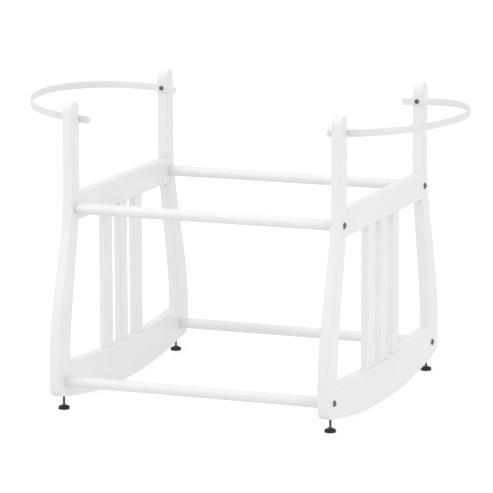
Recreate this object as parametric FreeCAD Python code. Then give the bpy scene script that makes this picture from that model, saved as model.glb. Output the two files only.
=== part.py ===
import FreeCAD, Part
import math
import os

# White painted rocking stand for a bassinet. Two slatted end panels are tied by four round rails.
# A flat band hoop swings on the inner faces of each panel's posts, and four levelling feet carry it.
#
# Frame: X runs along the rails (left panel at -X), Y from front to back, Z up.
# The origin is on the floor under the middle of the stand. Lengths are in millimetres.

# ---- overall sizes ----
stand_length = 630.0            # between the middles of the two end panels
post_spread = 547.0             # between the axes of the front and back posts
post_top_z = 685.0
board_thickness = 24.0          # legs, top rails and rockers

# ---- legs ----
post_width = 40.0
edge_radius = 3.0               # softened edges of the painted boards
flare_start_z = 513.0           # the legs are straight above this height
outer_flare = 85.0              # how far the outer edge swings out below
outer_flare_end_z = 110.0
inner_flare = 61.5
inner_flare_end_z = 90.0
flare_steps = 6
toe_radius = 22.0               # rounded outer corner at the bottom

# ---- rockers ----
rocker_radius = 1930.0          # curve that the stand rocks on
rocker_low_z = 1.0              # lowest point of the curve while the feet are screwed out
rocker_depth = 91.0             # at the middle
rocker_top_radius = 3300.0      # flatter curve of the upper edge

# ---- top rails and slats ----
top_rail_height = 60.0
top_rail_bottom_z = 417.0
slat_count = 3
slat_pitch = 87.0
slat_width = 44.0
slat_thickness = 16.0
slat_housing = 12.0             # how deep a slat's end sits in a rail or rocker

# ---- dowels inside the panels ----
dowel_diameter = 10.0
dowel_length = 40.0
dowel_clearance = 0.05          # radial
dowel_end_gap = 1.0
top_dowel_spacing = 36.0
top_dowel_into_leg = 18.0
rocker_dowel_shares = (0.53, 0.86)      # how far up the seam between a leg and a rocker
rocker_dowel_into_leg = 13.0

# ---- round rails ----
round_rail_diameter = 25.0
upper_rail_z = 445.0
lower_rail_z = 66.0
lower_rail_inset = 21.0         # from a leg's inner edge at the foot to the rail's axis
rail_end_chamfer = 1.0

# ---- rail bolts and barrel nuts ----
bolt_diameter = 6.0
bolt_hole_clearance = 0.25      # radial
thread_clearance = 0.05         # radial
bolt_head_diameter = 14.0
bolt_head_height = 3.6
bolt_socket_across_flats = 4.0
bolt_socket_depth = 2.2
head_rim_share = 0.33           # straight rim of a domed head, as a share of its height
head_shoulder_share = 0.82      # radius and height that the dome passes through
head_shoulder_height_share = 0.8
head_crown_share = 0.45         # radius of the flat crown
barrel_nut_diameter = 10.0
barrel_nut_length = 17.0
barrel_nut_setback = 30.0       # from the end of the rail to the nut's axis
barrel_nut_below_axis = 10.5
barrel_nut_end_gap = 1.0
barrel_nut_slot_width = 1.6
barrel_nut_slot_depth = 1.5
bolt_past_nut = 12.0
bolt_tip_gap = 3.0

# ---- hoops ----
hoop_z = 643.0
left_hoop_rest_tilt = 5.0       # degrees that each hoop is raised from level, as it is drawn
right_hoop_rest_tilt = 3.0
hoop_reach = 192.0              # from the panel's middle to the outside of the band
band_height = 16.0
band_thickness = 3.0
band_edge_radius = 0.8
tail_past_post = 25.0
tail_corner_radius = 6.0
hoop_gap = 0.3                  # play beside the band, on each face
washer_thickness = 1.0
washer_diameter = 17.0
pivot_diameter = 7.0
pivot_clearance = 0.05          # radial
pivot_head_diameter = 10.5
pivot_head_height = 3.3
pivot_thread_diameter = 6.0
pivot_thread_length = 18.0
pivot_insert_diameter = 10.0
pivot_insert_length = 20.0

# ---- levelling feet ----
foot_inset = 13.0               # from a leg's inner edge at the foot to the stem's axis
foot_pad_diameter = 25.0
foot_pad_top_diameter = 15.0
foot_pad_height = 8.5
foot_pad_rim_share = 0.7        # upright part of the pad, as a share of its height
foot_pad_edge_radius = 1.0
foot_stem_diameter = 6.0
foot_stem_clearance = 0.05      # radial
foot_stem_bottom_z = 3.0
foot_stem_in_insert = 13.0
foot_stem_tip_chamfer = 0.7
foot_collar_across_flats = 10.0
foot_collar_height = 2.0
foot_collar_gap = 0.2
foot_insert_diameter = 10.0
foot_insert_recess = 1.0        # above the curve of the leg's underside
foot_insert_length = 17.0
foot_retract = 12.0             # how far a foot screws in from here
foot_bore_clearance = 0.6       # radial, above the insert
foot_bore_end_gap = 1.5

# ---- sizes that follow ----
half_length = stand_length / 2
half_board = board_thickness / 2
panel_inner_x = half_length - half_board
post_y = post_spread / 2
post_outer_y = post_y + post_width / 2
post_inner_y = post_y - post_width / 2
top_rail_top_z = top_rail_bottom_z + top_rail_height
rocker_top_low_z = rocker_low_z + rocker_depth
outer_low_y = post_outer_y + outer_flare
inner_low_y = post_inner_y + inner_flare
lower_rail_y = inner_low_y + lower_rail_inset
foot_y = inner_low_y + foot_inset
foot_pad_rim = foot_pad_height * foot_pad_rim_share
band_outer_y = post_inner_y - washer_thickness - hoop_gap
band_inner_y = band_outer_y - band_thickness
bolt_length_in_rail = barrel_nut_setback + bolt_past_nut

SIDES = (("left", -1), ("right", 1))
REST_TILTS = {"left": left_hoop_rest_tilt, "right": right_hoop_rest_tilt}
ENDS = (("front", -1), ("back", 1))
ALONG_X = FreeCAD.Vector(1, 0, 0)
ALONG_Y = FreeCAD.Vector(0, 1, 0)
ALONG_Z = FreeCAD.Vector(0, 0, 1)
SKETCH_OVERSHOOT = 1.0          # how far a cutting shape passes the face that it cuts
NO_LENGTH = 0.01                # an edge shorter than this along an axis lies across it
HEX_TURN = math.radians(60)


def vec(x, y, z):
    return FreeCAD.Vector(x, y, z)


def box(low, high):
    """A box from its lowest to its highest corner."""
    size = [top - bottom for bottom, top in zip(low, high)]
    return Part.makeBox(size[0], size[1], size[2], vec(*low))


def rod(diameter, length, start, direction):
    return Part.makeCylinder(diameter / 2, length, start, direction)


def join(shapes):
    """One shape from several that touch or overlap."""
    whole = shapes[0]
    for shape in shapes[1:]:
        whole = whole.fuse(shape)
    return whole.removeSplitter()


def group(shapes):
    """Separate solids kept together in one sub-part."""
    return Part.makeCompound(shapes)


def cut_all(shape, tools):
    for tool in tools:
        shape = shape.cut(tool)
    return shape


def mirrored(shape, side, end):
    """A shape made for the right back quarter, moved to another side and end."""
    if side < 0:
        shape = shape.mirror(vec(0, 0, 0), ALONG_X)
    if end < 0:
        shape = shape.mirror(vec(0, 0, 0), ALONG_Y)
    return shape


def save(name, shape):
    shape.exportStep("parts/" + name + ".step")


def arc_z(y, radius, low_z):
    """Height of a curve of the rocker at a distance from its middle, where it is lowest."""
    return low_z + radius - math.sqrt(radius * radius - y * y)


def rocking_z(y):
    """Height of the rocker's lower edge at a distance from its middle."""
    return arc_z(y, rocker_radius, rocker_low_z)


def rocker_top_z(y):
    """Height of the rocker's upper edge at a distance from its middle."""
    return arc_z(y, rocker_top_radius, rocker_top_low_z)


def flare_points(start_y, flare, end_z):
    """Points down one flared edge of a leg: half a cosine wave from the post to the foot."""
    points = []
    for step in range(flare_steps + 1):
        share = step / flare_steps
        y = start_y + flare * (1 - math.cos(math.pi * share)) / 2
        points.append(vec(panel_inner_x, y, flare_start_z + share * (end_z - flare_start_z)))
    return points


def flare_edge(start_y, flare, end_z):
    """The flared edge of a leg, upright at both of its ends."""
    curve = Part.BSplineCurve()
    points = flare_points(start_y, flare, end_z)
    down = vec(0, 0, -1)
    curve.interpolate(Points=points, InitialTangent=down, FinalTangent=down)
    return curve.toShape()


def edges_in_plane_x(shape, x):
    """The edges that lie wholly in the plane at x."""
    return [edge for edge in shape.Edges
            if abs(edge.BoundBox.XMin - x) < NO_LENGTH and abs(edge.BoundBox.XMax - x) < NO_LENGTH]


def curve_disc(radius, low_z):
    """A thick disc whose rim is a curve of the rocker."""
    start = vec(panel_inner_x - SKETCH_OVERSHOOT, 0, low_z + radius)
    return Part.makeCylinder(radius, board_thickness + 2 * SKETCH_OVERSHOOT, start, ALONG_X)


def leg_board():
    """A leg with square edges: half-round post top, flared sides, foot cut to the rocker's curve."""
    round_z = post_top_z - post_width / 2
    below_z = rocker_low_z - SKETCH_OVERSHOOT
    x = panel_inner_x
    edges = [
        Part.Arc(vec(x, post_inner_y, round_z), vec(x, post_y, post_top_z),
                 vec(x, post_outer_y, round_z)).toShape(),
        Part.makeLine(vec(x, post_outer_y, round_z), vec(x, post_outer_y, flare_start_z)),
        flare_edge(post_outer_y, outer_flare, outer_flare_end_z),
        Part.makeLine(vec(x, outer_low_y, outer_flare_end_z), vec(x, outer_low_y, below_z)),
        Part.makeLine(vec(x, outer_low_y, below_z), vec(x, inner_low_y, below_z)),
        Part.makeLine(vec(x, inner_low_y, below_z), vec(x, inner_low_y, inner_flare_end_z)),
        flare_edge(post_inner_y, inner_flare, inner_flare_end_z),
        Part.makeLine(vec(x, post_inner_y, flare_start_z), vec(x, post_inner_y, round_z)),
    ]
    outline = Part.Wire(Part.__sortEdges__(edges))
    board = Part.Face(outline).extrude(vec(board_thickness, 0, 0))
    board = board.common(curve_disc(rocker_radius, rocker_low_z))
    toe = [edge for edge in board.Edges
           if edge.BoundBox.YMin > outer_low_y - NO_LENGTH and edge.BoundBox.ZMax < outer_flare_end_z
           and edge.BoundBox.XLength > half_board]
    return board.makeFillet(toe_radius, toe)


def softened(board):
    """A board with the edges of its two faces rounded."""
    edges = edges_in_plane_x(board, panel_inner_x)
    edges += edges_in_plane_x(board, panel_inner_x + board_thickness)
    return board.makeFillet(edge_radius, edges)


def leg():
    """The right back leg. Where a rail or rocker butts against it, its edge stays square."""
    board = leg_board()
    seam_reach_y = (post_y + post_inner_y) / 2
    low_seam_reach_y = inner_low_y + post_width / 4
    outer_x = panel_inner_x + board_thickness
    rail_seam = box((panel_inner_x, post_inner_y, top_rail_bottom_z + edge_radius),
                    (outer_x, seam_reach_y, top_rail_top_z - edge_radius))
    seam_top_z = rocker_top_z(inner_low_y) - edge_radius
    rocker_seam = box((panel_inner_x, post_inner_y + inner_flare / 2, rocker_low_z),
                      (outer_x, low_seam_reach_y, seam_top_z))
    rocker_seam = rocker_seam.common(curve_disc(rocker_radius - edge_radius, rocker_low_z + edge_radius))
    square_parts = [board.common(rail_seam), board.common(rocker_seam)]
    return join([softened(board)] + square_parts)


def top_rail_block(board):
    """The top rail of the right panel, scribed to both legs."""
    rail = box((panel_inner_x, -post_y, top_rail_bottom_z),
               (panel_inner_x + board_thickness, post_y, top_rail_top_z))
    long_edges = [edge for edge in rail.Edges if edge.BoundBox.YLength > post_y]
    rail = rail.makeFillet(edge_radius, long_edges)
    return cut_all(rail, [board, mirrored(board, 1, -1)])


def rocker_block(board):
    """The rocker of the right panel: a curved board between the legs."""
    reach_y = outer_low_y
    high_z = rocker_top_z(reach_y) + SKETCH_OVERSHOOT
    blank = box((panel_inner_x, -reach_y, rocker_low_z - SKETCH_OVERSHOOT),
                (panel_inner_x + board_thickness, reach_y, high_z))
    rocker = blank.common(curve_disc(rocker_radius, rocker_low_z))
    rocker = rocker.cut(curve_disc(rocker_top_radius, rocker_top_low_z))
    curved = [edge for edge in rocker.Edges if edge.BoundBox.YLength > reach_y]
    rocker = rocker.makeFillet(edge_radius, curved)
    ends = [box((panel_inner_x - SKETCH_OVERSHOOT, inner_low_y, blank.BoundBox.ZMin),
                (panel_inner_x + board_thickness + SKETCH_OVERSHOOT, reach_y + SKETCH_OVERSHOOT, high_z))]
    ends += [mirrored(ends[0], 1, -1)]
    return cut_all(rocker, ends + [board, mirrored(board, 1, -1)])


def slat_positions():
    middle = (slat_count - 1) / 2
    return [(number - middle) * slat_pitch for number in range(slat_count)]


def slat(y):
    """An upright slat whose ends sit in housings in the top rail and the rocker."""
    low_z = rocker_top_z(abs(y)) - slat_housing
    low = (half_length - slat_thickness / 2, y - slat_width / 2, low_z)
    high = (half_length + slat_thickness / 2, y + slat_width / 2, top_rail_bottom_z + slat_housing)
    bar = box(low, high)
    long_edges = [edge for edge in bar.Edges if edge.BoundBox.ZLength > slat_width]
    return bar.makeFillet(edge_radius, long_edges)


def seam_y(board, z):
    """Where a leg's inner edge stands at a height."""
    probe = Part.makeLine(vec(half_length, 0, z), vec(half_length, lower_rail_y, z))
    return probe.common(board).BoundBox.YMin


def dowel(y_seam, into_leg, z, extra_radius=0.0, extra_length=0.0):
    """A dowel across the seam between a leg and the board beside it."""
    start = vec(half_length, y_seam + into_leg - dowel_length - extra_length, z)
    return rod(dowel_diameter + 2 * extra_radius, dowel_length + 2 * extra_length, start, ALONG_Y)


def dowel_set(board, heights, into_leg, extra_radius=0.0, extra_length=0.0):
    """The dowels at both ends of one board of the right panel."""
    back = [dowel(seam_y(board, z), into_leg, z, extra_radius, extra_length) for z in heights]
    return back + [mirrored(shape, 1, -1) for shape in back]


def hex_prism(across_flats, height, base, direction):
    """A hexagonal prism from the middle of its base along a direction."""
    radius = across_flats / math.sqrt(3)
    corners = [vec(radius * math.cos(turn * HEX_TURN), radius * math.sin(turn * HEX_TURN), 0)
               for turn in range(7)]
    prism = Part.Face(Part.makePolygon(corners)).extrude(vec(0, 0, height))
    prism.Placement = FreeCAD.Placement(base, FreeCAD.Rotation(ALONG_Z, direction))
    return prism


def domed_head(diameter, height, socket_flats, seat, direction):
    """A domed screw head with a hexagonal socket, on its seat and pointing along direction."""
    rim = height * head_rim_share
    edge = diameter / 2
    crown = edge * head_crown_share
    shoulder = vec(edge * head_shoulder_share, 0, height * head_shoulder_height_share)
    profile = [
        Part.makeLine(vec(0, 0, 0), vec(edge, 0, 0)),
        Part.makeLine(vec(edge, 0, 0), vec(edge, 0, rim)),
        Part.Arc(vec(edge, 0, rim), shoulder, vec(crown, 0, height)).toShape(),
        Part.makeLine(vec(crown, 0, height), vec(0, 0, height)),
        Part.makeLine(vec(0, 0, height), vec(0, 0, 0)),
    ]
    head = Part.Face(Part.Wire(profile)).revolve(vec(0, 0, 0), ALONG_Z, 360)
    socket = hex_prism(socket_flats, bolt_socket_depth, vec(0, 0, height - bolt_socket_depth), ALONG_Z)
    head = head.cut(socket)
    head.Placement = FreeCAD.Placement(seat, FreeCAD.Rotation(ALONG_Z, direction))
    return head


def rail_bolt(y, z):
    """A bolt from the panel's outer face into the barrel nut of a round rail."""
    seat_x = panel_inner_x + board_thickness
    tip_x = panel_inner_x - bolt_length_in_rail
    shank = rod(bolt_diameter, seat_x - tip_x, vec(tip_x, y, z), ALONG_X)
    head = domed_head(bolt_head_diameter, bolt_head_height, bolt_socket_across_flats,
                      vec(seat_x, y, z), ALONG_X)
    return join([shank, head])


def bolt_hole(y, z):
    """Clearance for a rail bolt, through the leg and into the end of the rail."""
    length = board_thickness + bolt_length_in_rail + bolt_tip_gap + SKETCH_OVERSHOOT
    start = vec(panel_inner_x - bolt_length_in_rail - bolt_tip_gap, y, z)
    return rod(bolt_diameter + 2 * bolt_hole_clearance, length, start, ALONG_X)


def barrel_nut(y, z):
    """A cross nut that stands upright in a rail, with a slot in its lower end."""
    x = panel_inner_x - barrel_nut_setback
    base = vec(x, y, z - barrel_nut_below_axis)
    nut = rod(barrel_nut_diameter, barrel_nut_length, base, ALONG_Z)
    thread = rod(bolt_diameter + 2 * thread_clearance, 2 * barrel_nut_diameter,
                 vec(x - barrel_nut_diameter, y, z), ALONG_X)
    reach = barrel_nut_diameter
    slot = box((x - reach, y - barrel_nut_slot_width / 2, base.z - SKETCH_OVERSHOOT),
               (x + reach, y + barrel_nut_slot_width / 2, base.z + barrel_nut_slot_depth))
    return nut.cut(thread).cut(slot)


def barrel_nut_hole(y, z):
    """The blind hole for a cross nut, open on the underside of the rail."""
    top_z = z - barrel_nut_below_axis + barrel_nut_length + barrel_nut_end_gap
    low_z = z - round_rail_diameter
    start = vec(panel_inner_x - barrel_nut_setback, y, low_z)
    return rod(barrel_nut_diameter + 2 * thread_clearance, top_z - low_z, start, ALONG_Z)


def round_rail(y, z):
    """A round rail between the inner faces of the panels, bored at both ends."""
    rail = rod(round_rail_diameter, 2 * panel_inner_x, vec(-panel_inner_x, y, z), ALONG_X)
    rims = [edge for edge in rail.Edges if edge.BoundBox.XLength < NO_LENGTH]
    rail = rail.makeChamfer(rail_end_chamfer, rims)
    holes = [bolt_hole(y, z), barrel_nut_hole(y, z)]
    holes += [mirrored(hole, -1, 1) for hole in holes]
    return cut_all(rail, holes)


def half_ellipse_slab(reach, half_span):
    """Half of an elliptical plate, on the outer side of the panel's middle plane."""
    centre = vec(half_length, 0, hoop_z - band_height / 2)
    tips = [centre + vec(reach, 0, 0), centre + vec(0, half_span, 0)]
    if half_span > reach:
        tips.reverse()
    rim = Part.Ellipse(tips[0], tips[1], centre).toShape()
    plate = Part.Face(Part.Wire(rim)).extrude(vec(0, 0, band_height))
    outside = box((half_length, -half_span - SKETCH_OVERSHOOT, centre.z - SKETCH_OVERSHOOT),
                  (half_length + reach + SKETCH_OVERSHOOT, half_span + SKETCH_OVERSHOOT,
                   centre.z + band_height + SKETCH_OVERSHOOT))
    return plate.common(outside)


def hoop_tail():
    """The straight end of the band beside the back post, with rounded corners."""
    end_x = panel_inner_x - tail_past_post
    tail = box((end_x, band_inner_y, hoop_z - band_height / 2),
               (half_length, band_outer_y, hoop_z + band_height / 2))
    corners = [edge for edge in tail.Edges
               if edge.BoundBox.XMax < end_x + NO_LENGTH and edge.BoundBox.YLength > band_thickness / 2]
    return tail.makeFillet(tail_corner_radius, corners)


def hoop(rest_tilt):
    """The band of the right panel, raised by a tilt: a half ellipse with a straight tail at each end."""
    bow = half_ellipse_slab(hoop_reach, band_outer_y)
    bow = bow.cut(half_ellipse_slab(hoop_reach - band_thickness, band_inner_y))
    band = join([bow, hoop_tail(), mirrored(hoop_tail(), 1, -1)])
    long_edges = [edge for edge in band.Edges if edge.BoundBox.ZLength < NO_LENGTH
                  and max(edge.BoundBox.XLength, edge.BoundBox.YLength) > band_height]
    band = band.makeFillet(band_edge_radius, long_edges)
    bore = rod(pivot_diameter + 2 * pivot_clearance, post_spread,
               vec(half_length, -post_y, hoop_z), ALONG_Y)
    band = band.cut(bore)
    return band.rotate(vec(half_length, 0, hoop_z), ALONG_Y, -rest_tilt)


def pivot_screw():
    """The shoulder screw that the hoop turns on, screwed into the back post."""
    seat_y = band_inner_y - hoop_gap
    seat = vec(half_length, seat_y, hoop_z)
    head = domed_head(pivot_head_diameter, pivot_head_height, bolt_socket_across_flats, seat, -ALONG_Y)
    shoulder = rod(pivot_diameter, post_inner_y - seat_y, seat, ALONG_Y)
    thread = rod(pivot_thread_diameter, pivot_thread_length, vec(half_length, post_inner_y, hoop_z), ALONG_Y)
    return join([head, shoulder, thread])


def pivot_washer():
    start = vec(half_length, post_inner_y - washer_thickness, hoop_z)
    disc = rod(washer_diameter, washer_thickness, start, ALONG_Y)
    return disc.cut(rod(pivot_diameter + 2 * pivot_clearance, washer_thickness, start, ALONG_Y))


def pivot_insert():
    """The threaded sleeve in the back post that holds the pivot screw."""
    start = vec(half_length, post_inner_y, hoop_z)
    sleeve = rod(pivot_insert_diameter, pivot_insert_length, start, ALONG_Y)
    bore_length = pivot_thread_length + dowel_end_gap
    return sleeve.cut(rod(pivot_thread_diameter + 2 * thread_clearance, bore_length, start, ALONG_Y))


def pivot_insert_hole():
    start = vec(half_length, post_inner_y - SKETCH_OVERSHOOT, hoop_z)
    return rod(pivot_insert_diameter + 2 * thread_clearance, pivot_insert_length + SKETCH_OVERSHOOT,
               start, ALONG_Y)


def foot_pad():
    """The round glide under a leg: a low rim, a tapered body and a socket for the stem."""
    centre = vec(half_length, foot_y, 0)
    rim = rod(foot_pad_diameter, foot_pad_rim, centre, ALONG_Z)
    taper = Part.makeCone(foot_pad_diameter / 2, foot_pad_top_diameter / 2,
                          foot_pad_height - foot_pad_rim, vec(half_length, foot_y, foot_pad_rim), ALONG_Z)
    pad = join([rim, taper])
    rims = [edge for edge in pad.Edges if edge.BoundBox.ZLength < NO_LENGTH
            and abs(edge.BoundBox.ZMax - foot_pad_rim) > NO_LENGTH]
    pad = pad.makeFillet(foot_pad_edge_radius, rims)
    socket = rod(foot_stem_diameter + 2 * foot_stem_clearance, foot_pad_height,
                 vec(half_length, foot_y, foot_stem_bottom_z - foot_collar_gap), ALONG_Z)
    return pad.cut(socket)


def foot_insert_bottom_z():
    return rocking_z(foot_y + foot_insert_diameter / 2) + foot_insert_recess


def foot_stem_top_z():
    return foot_insert_bottom_z() + foot_stem_in_insert


def foot_stem():
    """The threaded stem of a foot, with a hexagonal collar above the pad."""
    stem = rod(foot_stem_diameter, foot_stem_top_z() - foot_stem_bottom_z,
               vec(half_length, foot_y, foot_stem_bottom_z), ALONG_Z)
    tips = [edge for edge in stem.Edges if edge.BoundBox.ZLength < NO_LENGTH]
    stem = stem.makeChamfer(foot_stem_tip_chamfer, tips)
    collar = hex_prism(foot_collar_across_flats, foot_collar_height,
                       vec(half_length, foot_y, foot_pad_height + foot_collar_gap), ALONG_Z)
    return join([stem, collar])


def foot_insert():
    """The threaded sleeve inside the foot of a leg."""
    start = vec(half_length, foot_y, foot_insert_bottom_z())
    sleeve = rod(foot_insert_diameter, foot_insert_length, start, ALONG_Z)
    return sleeve.cut(rod(foot_stem_diameter + 2 * foot_stem_clearance, foot_insert_length, start, ALONG_Z))


def foot_bore():
    """The stepped hole in a leg for the insert, and above it for the stem when the foot is screwed in."""
    insert_top_z = foot_insert_bottom_z() + foot_insert_length
    wide = rod(foot_insert_diameter + 2 * thread_clearance, insert_top_z, vec(half_length, foot_y, 0), ALONG_Z)
    narrow = rod(foot_stem_diameter + 2 * foot_bore_clearance,
                 foot_stem_top_z() + foot_retract + foot_bore_end_gap, vec(half_length, foot_y, 0), ALONG_Z)
    return join([wide, narrow])


def make_panel(side_name, side):
    """Every piece of one end panel, and the hoop and the screws that belong to it."""
    board = leg_board()
    middle_z = top_rail_bottom_z + top_rail_height / 2
    top_heights = (middle_z - top_dowel_spacing / 2, middle_z + top_dowel_spacing / 2)
    top_dowels = dowel_set(board, top_heights, top_dowel_into_leg)
    seam_low_z = rocking_z(inner_low_y)
    seam_height = rocker_top_z(inner_low_y) - seam_low_z
    rocker_heights = [seam_low_z + share * seam_height for share in rocker_dowel_shares]
    rocker_dowels = dowel_set(board, rocker_heights, rocker_dowel_into_leg)
    dowel_holes = dowel_set(board, top_heights, top_dowel_into_leg, dowel_clearance, dowel_end_gap)
    dowel_holes += dowel_set(board, rocker_heights, rocker_dowel_into_leg, dowel_clearance, dowel_end_gap)
    bolt_places = ((post_y, upper_rail_z), (lower_rail_y, lower_rail_z))
    leg_holes = [bolt_hole(y, z) for y, z in bolt_places] + [pivot_insert_hole(), foot_bore()]
    finished_leg = cut_all(leg(), leg_holes + dowel_holes)
    for end_name, end in ENDS:
        save(side_name + "_" + end_name + "_leg", mirrored(finished_leg, side, end))
    slats = [slat(y) for y in slat_positions()]
    rail = cut_all(top_rail_block(board), slats + dowel_holes)
    rocker = cut_all(rocker_block(board), slats + dowel_holes)
    save(side_name + "_top_rail", mirrored(rail, side, 1))
    save(side_name + "_rocker", mirrored(rocker, side, 1))
    for number, bar in enumerate(slats, start=1):
        save(side_name + "_slat_" + str(number), mirrored(bar, side, 1))
    save(side_name + "_top_rail_dowels", mirrored(group(top_dowels), side, 1))
    save(side_name + "_rocker_dowels", mirrored(group(rocker_dowels), side, 1))
    save(side_name + "_hoop", mirrored(hoop(REST_TILTS[side_name]), side, 1))
    pair_makers = (("_hoop_screws", pivot_screw), ("_hoop_washers", pivot_washer),
                   ("_hoop_inserts", pivot_insert))
    for suffix, maker in pair_makers:
        save(side_name + suffix, group([mirrored(maker(), side, end) for end_name, end in ENDS]))
    for level, (y, z) in zip(("upper", "lower"), bolt_places):
        bolts = group([mirrored(rail_bolt(y, z), side, end) for end_name, end in ENDS])
        save(side_name + "_" + level + "_rail_bolts", bolts)


def make_round_rails():
    """The four round rails and the cross nuts inside their ends."""
    for level, y, z in (("upper", post_y, upper_rail_z), ("lower", lower_rail_y, lower_rail_z)):
        for end_name, end in ENDS:
            save(end_name + "_" + level + "_rail", mirrored(round_rail(y, z), 1, end))
            nuts = group([mirrored(barrel_nut(y, z), side, end) for side_name, side in SIDES])
            save(end_name + "_" + level + "_rail_nuts", nuts)


def make_feet():
    """The four levelling feet: pad, threaded stem and the insert in the leg."""
    for side_name, side in SIDES:
        for end_name, end in ENDS:
            corner = side_name + "_" + end_name
            save(corner + "_foot_pad", mirrored(foot_pad(), side, end))
            save(corner + "_foot_stem", mirrored(foot_stem(), side, end))
            save(corner + "_foot_insert", mirrored(foot_insert(), side, end))


os.makedirs("parts", exist_ok=True)
for panel_name, panel_side in SIDES:
    make_panel(panel_name, panel_side)
make_round_rails()
make_feet()
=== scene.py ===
"""A white painted rocking stand for a bassinet, dressed for display.

The CAD frame gives every place; this file models each visible piece again in finer detail, gives
it a finish, and sets a plain pale studio around it. Lengths are in metres.
"""

import logging
import math
from contextlib import contextmanager
from dataclasses import dataclass, field
from enum import Enum
from typing import Callable, Iterable, Iterator, Sequence

import bmesh
import bpy
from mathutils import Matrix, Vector


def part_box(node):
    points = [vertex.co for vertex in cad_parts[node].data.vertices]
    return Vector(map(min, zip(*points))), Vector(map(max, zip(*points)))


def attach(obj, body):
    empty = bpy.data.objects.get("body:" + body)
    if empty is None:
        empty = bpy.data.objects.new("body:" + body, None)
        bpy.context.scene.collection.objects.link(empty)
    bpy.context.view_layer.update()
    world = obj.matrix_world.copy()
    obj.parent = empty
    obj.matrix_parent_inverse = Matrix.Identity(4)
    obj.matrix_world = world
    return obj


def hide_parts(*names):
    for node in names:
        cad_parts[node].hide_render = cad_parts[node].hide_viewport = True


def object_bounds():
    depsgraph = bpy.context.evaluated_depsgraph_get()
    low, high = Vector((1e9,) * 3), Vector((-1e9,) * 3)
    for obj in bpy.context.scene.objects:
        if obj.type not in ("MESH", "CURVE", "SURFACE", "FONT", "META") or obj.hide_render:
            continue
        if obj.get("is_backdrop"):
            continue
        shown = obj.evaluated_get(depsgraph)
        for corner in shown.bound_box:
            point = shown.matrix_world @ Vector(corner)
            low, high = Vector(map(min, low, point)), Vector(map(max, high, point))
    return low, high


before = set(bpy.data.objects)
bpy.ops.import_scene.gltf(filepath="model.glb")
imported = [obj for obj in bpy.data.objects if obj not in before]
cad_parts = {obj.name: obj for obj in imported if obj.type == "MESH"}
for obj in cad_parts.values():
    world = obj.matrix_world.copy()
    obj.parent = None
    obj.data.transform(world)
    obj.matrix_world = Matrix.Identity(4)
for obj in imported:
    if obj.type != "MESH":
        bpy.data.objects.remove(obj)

log = logging.getLogger("stand")
MM = 0.001
TAU = 2 * math.pi
TOUCH = 1e-5                # places nearer than this are the same
MERGE = TOUCH / 2           # doubles nearer than this are merged
NEAR = 1 * MM               # an edge nearer than this to an outline lies on it
CLEARANCE = 0.05 * MM       # room round a pin in its hole
CORNER = 60.0               # an edge is a corner where its faces turn more than this, in degrees
SMOOTH_HARDWARE = 40.0      # hardware is shaded smooth where its faces turn less than this
SIDEWAYS = 0.9              # least part of a normal along an axis on a face that faces it
UPRIGHT = 0.1               # most of a normal along Z on an upright face
ROUND_SIDES = 48
HOLE_SIDES = 40
HEX_SIDES = 6


class Side(Enum):
    """The end panels, and the sign of X that each stands at."""

    LEFT = -1
    RIGHT = 1


class End(Enum):
    """Front and back, and the sign of Y that each stands at."""

    FRONT = -1
    BACK = 1


class Axis(Enum):
    """The row axes."""

    X = 0
    Y = 1
    Z = 2


REST_TILTS = {Side.LEFT: 5.0, Side.RIGHT: 3.0}
CORNERS = [(side, end) for side in Side for end in End]


def label(*words: object) -> str:
    """The name of a node or piece from enum members and plain words.

    Args:
        words: Side or End members, or text.

    Returns:
        The words in lower case, joined with underscores.
    """
    return "_".join(word.name.lower() if isinstance(word, Enum) else str(word) for word in words)


# ---- shader expressions ----


class Value:
    """A number or a node's output that can be written into shader sums."""

    def __init__(self, graph: "Graph", source: object) -> None:
        """Keeps the graph and the socket or number."""
        self.graph = graph
        self.source = source

    def _math(self, operation: str, first: object, second: object) -> "Value":
        """Adds a Math node on two operands."""
        return self.graph.add("ShaderNodeMath", {"operation": operation}, {0: first, 1: second})

    def __add__(self, other: object) -> "Value":
        """self + other."""
        return self._math("ADD", self, other)

    __radd__ = __add__

    def __sub__(self, other: object) -> "Value":
        """self - other."""
        return self._math("SUBTRACT", self, other)

    def __rsub__(self, other: object) -> "Value":
        """other - self."""
        return self._math("SUBTRACT", other, self)

    def __mul__(self, other: object) -> "Value":
        """self * other."""
        return self._math("MULTIPLY", self, other)

    __rmul__ = __mul__

    def window(self, low: float, high: float, start: float = 0.0, stop: float = 1.0) -> "Value":
        """This value mapped from low..high to start..stop, and held at the ends.

        Args:
            low: The value that gives start.
            high: The value that gives stop.
            start: The result at low.
            stop: The result at high.

        Returns:
            The mapped value.
        """
        inputs = {"Value": self, "From Min": low, "From Max": high, "To Min": start, "To Max": stop}
        return self.graph.add("ShaderNodeMapRange", {"clamp": True}, inputs)


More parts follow.
